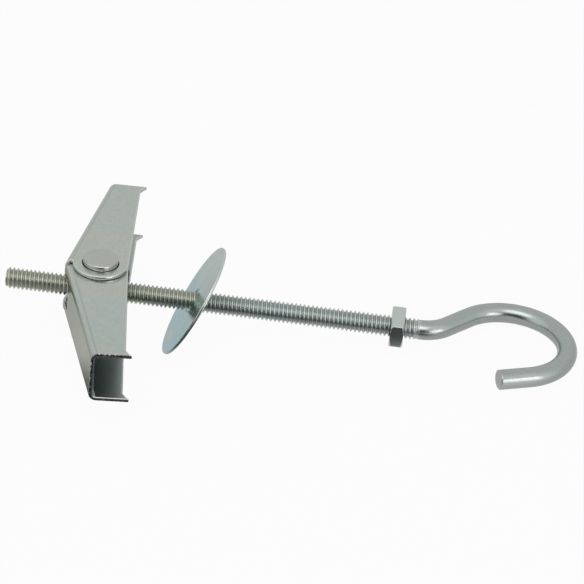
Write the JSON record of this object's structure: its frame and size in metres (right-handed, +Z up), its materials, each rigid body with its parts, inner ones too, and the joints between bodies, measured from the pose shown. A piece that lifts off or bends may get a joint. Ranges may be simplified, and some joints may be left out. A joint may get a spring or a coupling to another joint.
{
  "type": "spring toggle bolt with hook",
  "caption": "Hook bent from one threaded rod, with a spring-loaded pair of folding channel wings, a loose cover washer and a thin hexagon nut.",
  "frame": {"origin": "centre of the bounding box's base, on the surface that it lies on", "axes": "+X level along the rod towards the hook, +Y towards the outer wing, +Z up; the rod's hook end is pitched down"},
  "size_m": [0.1712, 0.0947, 0.0308],
  "materials": {
    "zinc_rod": "bright zinc plating on rolled and bent wire",
    "zinc_sheet": "bright zinc plating on folded sheet",
    "zinc_turned": "bright zinc plating on turned steel",
    "spring_wire": "dark oiled spring wire",
    "zinc_washer": "bright zinc plating with a bluish passivation",
    "zinc_nut": "bright zinc plating"
  },
  "bodies": {
    "bolt": {"hook_bolt": "zinc_rod"},
    "toggle_head": {"trunnion": "zinc_turned", "wing_spring": "spring_wire"},
    "outer": {"outer_wing": "zinc_sheet"},
    "inner": {"inner_wing": "zinc_sheet"},
    "washer": {"cover_washer": "zinc_washer"},
    "nut": {"lock_nut": "zinc_nut"}
  },
  "joints": [
    {"name": "head_travel", "type": "slide", "parent": "bolt", "child": "toggle_head", "axis": [0.9939, 0, -0.1103], "range_m": [-0.018, 0.008]},
    {"name": "outer_fold", "type": "hinge", "parent": "toggle_head", "child": "outer", "pos_m": [-0.05756, -0.00032, 0.01855], "axis": [-0.1103, -0.0307, -0.9934], "range_deg": [0, 86.5], "stiffness_Nm_per_rad": 0.06, "springref_deg": -40.11, "deforming": ["wing_spring"]},
    {"name": "inner_fold", "type": "hinge", "parent": "toggle_head", "child": "inner", "pos_m": [-0.05756, -0.00032, 0.01855], "axis": [0.1103, 0.0307, 0.9934], "range_deg": [0, 76.5], "stiffness_Nm_per_rad": 0.06, "springref_deg": -40.11, "deforming": ["wing_spring"]},
    {"name": "washer_travel", "type": "slide", "parent": "bolt", "child": "washer", "axis": [0.9939, 0, -0.1103], "range_m": [0, 0.0415]},
    {"name": "nut_travel", "type": "slide", "parent": "bolt", "child": "nut", "axis": [0.9939, 0, -0.1103], "range_m": [-0.01, 0.0025]}
  ],
  "couplings": [
    {"joint": "inner_fold", "follows": "outer_fold", "ratio": 0.8843},
    {"joint": "washer_travel", "follows": "outer_fold", "m_per_rad": 0.027}
  ]
}
